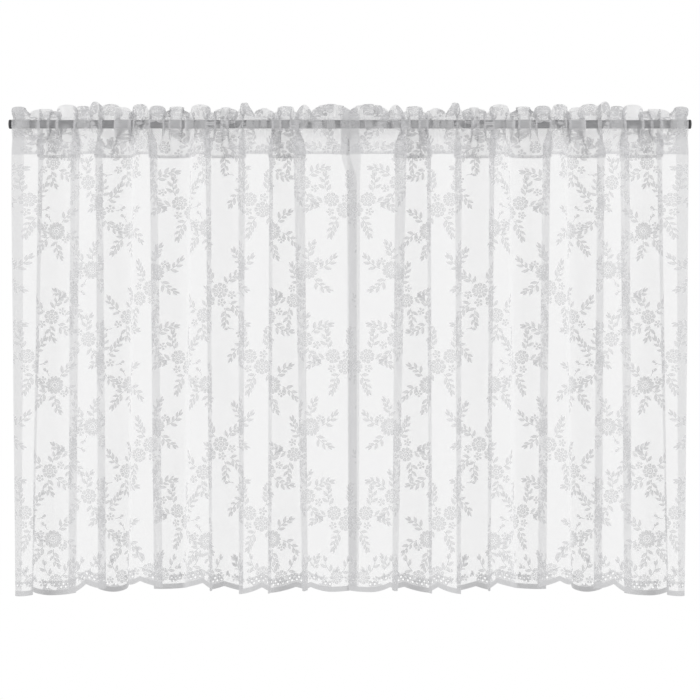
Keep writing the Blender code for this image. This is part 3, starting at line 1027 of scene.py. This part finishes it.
def net_material(width, length):
    """Fine net, denser in the turned side hems and the pocket's turned edge, with eyelets at the hem."""
    material, tree, output = new_material("lace_net")
    across, up = flat_sockets(tree, "flat")
    _, from_edge = flat_sockets(tree, "hem")
    uv = add_node(tree, "UVMap", {})
    uv.uv_map = "flat"
    place = uv.outputs["UV"]
    patches = add_node(tree, "TexNoise", {"Vector": place, "Scale": PATCH_SCALE, "Detail": 1.0})
    pleats = fine_pleats(tree, place, up)
    first = add_threads(tree, across, up, NET_THREADS.slope, NET_THREADS.share)
    second = add_threads(tree, across, up, -NET_THREADS.slope, NET_THREADS.share)
    net = add_math(tree, "MAXIMUM", first, second)
    outer_hem = add_math(tree, "LESS_THAN", across, SIDE_HEM_WIDTH)
    inner_hem = add_math(tree, "GREATER_THAN", across, width - SIDE_HEM_WIDTH)
    turned = add_math(tree, "GREATER_THAN", up, length - TURNED_EDGE)
    hems = add_math(tree, "MAXIMUM", add_math(tree, "MAXIMUM", outer_hem, inner_hem), turned)
    double = add_math(tree, "MULTIPLY", hems, add_threads(tree, across, up, *HEM_THREADS))
    patch = add_math(tree, "GREATER_THAN", patches.outputs["Fac"], PATCH_LEVEL)
    border = add_math(tree, "MULTIPLY", patch, add_between(tree, from_edge, 0.0, BORDER_HEIGHT))
    close = add_threads(tree, across, up, *BORDER_THREADS)
    double = add_math(tree, "MAXIMUM", double, add_math(tree, "MULTIPLY", border, close))
    band = add_math(tree, "MULTIPLY", add_math(tree, "LESS_THAN", from_edge, EDGE_BAND), BAND_COVER)
    cover = add_math(tree, "MAXIMUM", add_math(tree, "MAXIMUM", net, double), band)
    pressed = add_math(tree, "MULTIPLY", add_math(tree, "SUBTRACT", 1.0, cover), pleats)
    cover = add_math(tree, "ADD", cover, add_math(tree, "MULTIPLY", pressed, PLEATS_COVER))
    reach = add_math(tree, "MINIMUM", eyelet_reach(tree, across, from_edge, EYELET_ROWS[0]),
                     eyelet_reach(tree, across, from_edge, EYELET_ROWS[1]))
    eye = add_math(tree, "MULTIPLY", patch, add_math(tree, "LESS_THAN", reach, EYELET_RADIUS))
    cover = add_math(tree, "MULTIPLY", cover, add_math(tree, "SUBTRACT", 1.0, eye))
    rim = add_between(tree, reach, EYELET_RADIUS, EYELET_RADIUS + EYELET_RIM)
    cover = add_math(tree, "MAXIMUM", cover, add_math(tree, "MULTIPLY", patch, rim))
    show_through(tree, output, cloth_shader(tree, NET_YARN), cover)
    return material


def motif_material():
    """Dense knitted yarn: close along the outline of each petal and leaf, more open inside it."""
    material, tree, output = new_material("lace_motif")
    across, up = flat_sockets(tree, "flat")
    lane, _ = flat_sockets(tree, "lane")
    rib = add_math(tree, "SINE", add_math(tree, "MULTIPLY", up, 2 * math.pi / RIB_PITCH))
    column = add_math(tree, "SINE", add_math(tree, "MULTIPLY", across, 2 * math.pi / COLUMN_PITCH))
    weave = add_math(tree, "MULTIPLY", add_math(tree, "ADD", rib, column), WEAVE_DEPTH)
    outline = add_math(tree, "POWER", add_math(tree, "ABSOLUTE", lane), 2.0)
    filled = add_math(tree, "ADD", add_math(tree, "MULTIPLY", outline, OUTLINE_COVER), INSIDE_COVER)
    cover = add_math(tree, "ADD", filled, weave)
    show_through(tree, output, cloth_shader(tree, MOTIF_YARN), cover)
    return material


def stitch_material():
    material, tree, output = new_material("stitch_thread")
    show_through(tree, output, cloth_shader(tree, STITCH_YARN), 1.0)
    return material


# Finishes whose colour and relief follow a fine grain: the two ends of the colour, how strong the
# relief is, and how metallic and rough the surface is
Finish = namedtuple("Finish", "dark light relief metallic roughness")
STEEL = Finish((0.230, 0.230, 0.240), (0.355, 0.355, 0.365), 0.08, 0.8, 0.38)
RUBBER = Finish((0.045, 0.045, 0.047), (0.085, 0.085, 0.088), 0.2, 0.0, 0.75)
GRAIN_CLOSENESS = 900.0
GRAIN_DEPTH = 0.0002
BRUSHED_SCALE = (3.0, GRAIN_CLOSENESS, GRAIN_CLOSENESS)


def add_finish(tree, output, grain, finish):
    """A surface whose colour and relief follow the grain."""
    colours = add_node(tree, "ValToRGB", {"Fac": grain})
    colours.color_ramp.elements[0].color = (*finish.dark, 1.0)
    colours.color_ramp.elements[1].color = (*finish.light, 1.0)
    relief = {"Strength": finish.relief, "Distance": GRAIN_DEPTH, "Height": grain}
    bump = add_node(tree, "Bump", relief)
    looks = {"Base Color": colours.outputs["Color"], "Normal": bump.outputs["Normal"],
             "Metallic": finish.metallic, "Roughness": finish.roughness}
    shader = add_node(tree, "BsdfPrincipled", looks)
    tree.links.new(shader.outputs[0], output.inputs["Surface"])


def rod_material():
    """Satin steel, brushed along the rod."""
    material, tree, output = new_material("rod_steel")
    place = add_node(tree, "TexCoord", {}).outputs["Object"]
    add_finish(tree, output, stretched_noise(tree, place, BRUSHED_SCALE, 3.0), STEEL)
    return material


def rubber_material():
    """Dark rubber with a fine grain."""
    material, tree, output = new_material("tip_rubber")
    noise = add_node(tree, "TexNoise", {"Scale": GRAIN_CLOSENESS})
    add_finish(tree, output, noise.outputs["Fac"], RUBBER)
    return material


def make_curtain(side, inner_edge, mirrored, seed):
    """Net, lace and stitches of one curtain, in place of its solid."""
    cloth = make_cloth(inner_edge, mirrored, seed)
    net = make_net(f"{side}_net", cloth, net_material(cloth.width, cloth.length), mirrored)
    dense = motif_material()
    thread = stitch_material()
    flowers = field_layout(cloth)
    flowers.add(heading_layout(cloth), (0, 0))
    field = make_lace(f"{side}_flowers", cloth, flowers, dense, mirrored, MOTIF_LIFT, EDGE_CLEARANCE)
    border = make_lace(f"{side}_border", cloth, border_layout(cloth), dense, mirrored, MOTIF_LIFT)
    seams = Lace()
    seams.add(stitch_layout(cloth, SEAM_UP + STITCHES_ABOVE_SEAM), (0, 0))
    seams.add(stitch_layout(cloth, STITCH_UP), (0, 0))
    stitches = make_lace(f"{side}_stitches", cloth, seams, thread, mirrored, 2 * MOTIF_LIFT)
    for piece in (net, field, border, stitches):
        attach(piece, "root")
    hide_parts(f"{side}_curtain")


def dress_rod():
    """Gives the rod and its tips their finish."""
    steel, rubber = rod_material(), rubber_material()
    for node, material in (("rod_tube", steel), ("rod_tip_left", rubber), ("rod_tip_right", rubber)):
        frame["nodes"][node].material_slots[0].material = material


# Camera, as far off as a photographer with a long lens, and the picture's width at the rod
CAMERA_DISTANCE = 2.6
FRAME_WIDTH = 1.0885
FRAME_MIDDLE = (ROD_LENGTH / 2, -0.3510)
SENSOR_WIDTH = 36.0

# Room: soft lights in front of the curtains, far out on both sides, and a floor well below the hem
ROOM_LIGHT = 0.42
LIGHT_ASIDE = 2.13
LIGHT_FORWARD = 1.5
LIGHT_HEIGHT = 0.5
LIGHT_SIZE = 1.0
LIGHT_POWER = 29.0
LIGHT_AIM = (ROD_LENGTH / 2, 0.0, -0.35)
FLOOR_RADIUS = 1.4
FLOOR_HEIGHT = -1.25
FLOOR_SIDES = 96
FLOOR_COLOUR = (0.92, 0.92, 0.92, 1.0)
WHITE = (1.0, 1.0, 1.0, 1.0)

# How many layers of lace the light may pass
CLEAR_LAYERS = 48


def make_camera():
    data = bpy.data.cameras.new("camera")
    data.sensor_width = SENSOR_WIDTH
    data.lens = SENSOR_WIDTH * CAMERA_DISTANCE / FRAME_WIDTH
    camera = bpy.data.objects.new("camera", data)
    camera.location = (FRAME_MIDDLE[0], -CAMERA_DISTANCE, FRAME_MIDDLE[1])
    camera.rotation_euler = (math.pi / 2, 0.0, 0.0)
    bpy.context.scene.collection.objects.link(camera)
    bpy.context.scene.camera = camera


def make_area_light(name, place):
    """A soft round light that points at the middle of the curtains."""
    data = bpy.data.lights.new(name, "AREA")
    data.shape = "DISK"
    data.size = LIGHT_SIZE
    data.energy = LIGHT_POWER
    light = bpy.data.objects.new(name, data)
    light.location = place
    direction = np.array(LIGHT_AIM) - np.array(place)
    flat = math.hypot(direction[0], direction[1])
    light.rotation_euler = (math.atan2(flat, -direction[2]), 0.0,
                            math.atan2(direction[1], direction[0]) - math.pi / 2)
    bpy.context.scene.collection.objects.link(light)


def make_surroundings():
    """A white room, soft lights from both sides and a pale floor well below the hem."""
    world = bpy.data.worlds.new("white_room")
    bpy.context.scene.world = world
    world.use_nodes = True
    tree = world.node_tree
    tree.nodes.clear()
    seen = add_node(tree, "Background", {"Color": WHITE, "Strength": 1.0}).outputs[0]
    lighting = add_node(tree, "Background", {"Color": WHITE, "Strength": ROOM_LIGHT}).outputs[0]
    to_camera = add_node(tree, "LightPath", {}).outputs["Is Camera Ray"]
    blend = add_node(tree, "MixShader", {0: to_camera, 1: lighting, 2: seen})
    add_node(tree, "OutputWorld", {"Surface": blend.outputs[0]})
    middle = ROD_LENGTH / 2
    make_area_light("left_light", (middle - LIGHT_ASIDE, -LIGHT_FORWARD, LIGHT_HEIGHT))
    make_area_light("right_light", (middle + LIGHT_ASIDE, -LIGHT_FORWARD, LIGHT_HEIGHT))
    floor_material, floor_tree, floor_output = new_material("pale_floor")
    shader = add_node(floor_tree, "BsdfDiffuse", {"Color": FLOOR_COLOUR})
    floor_tree.links.new(shader.outputs[0], floor_output.inputs["Surface"])
    bpy.ops.mesh.primitive_circle_add(vertices=FLOOR_SIDES, radius=FLOOR_RADIUS, fill_type="NGON",
                                      location=(middle, 0.0, FLOOR_HEIGHT))
    floor = bpy.context.object
    floor.name = "floor"
    floor.data.materials.append(floor_material)


def main():
    scene = bpy.context.scene
    scene.view_settings.view_transform = "Standard"
    scene.cycles.transparent_max_bounces = CLEAR_LAYERS
    make_camera()
    make_surroundings()
    dress_rod()
    make_curtain("left", LEFT_INNER_EDGE, mirrored=False, seed=3)
    make_curtain("right", RIGHT_INNER_EDGE, mirrored=True, seed=8)


main()
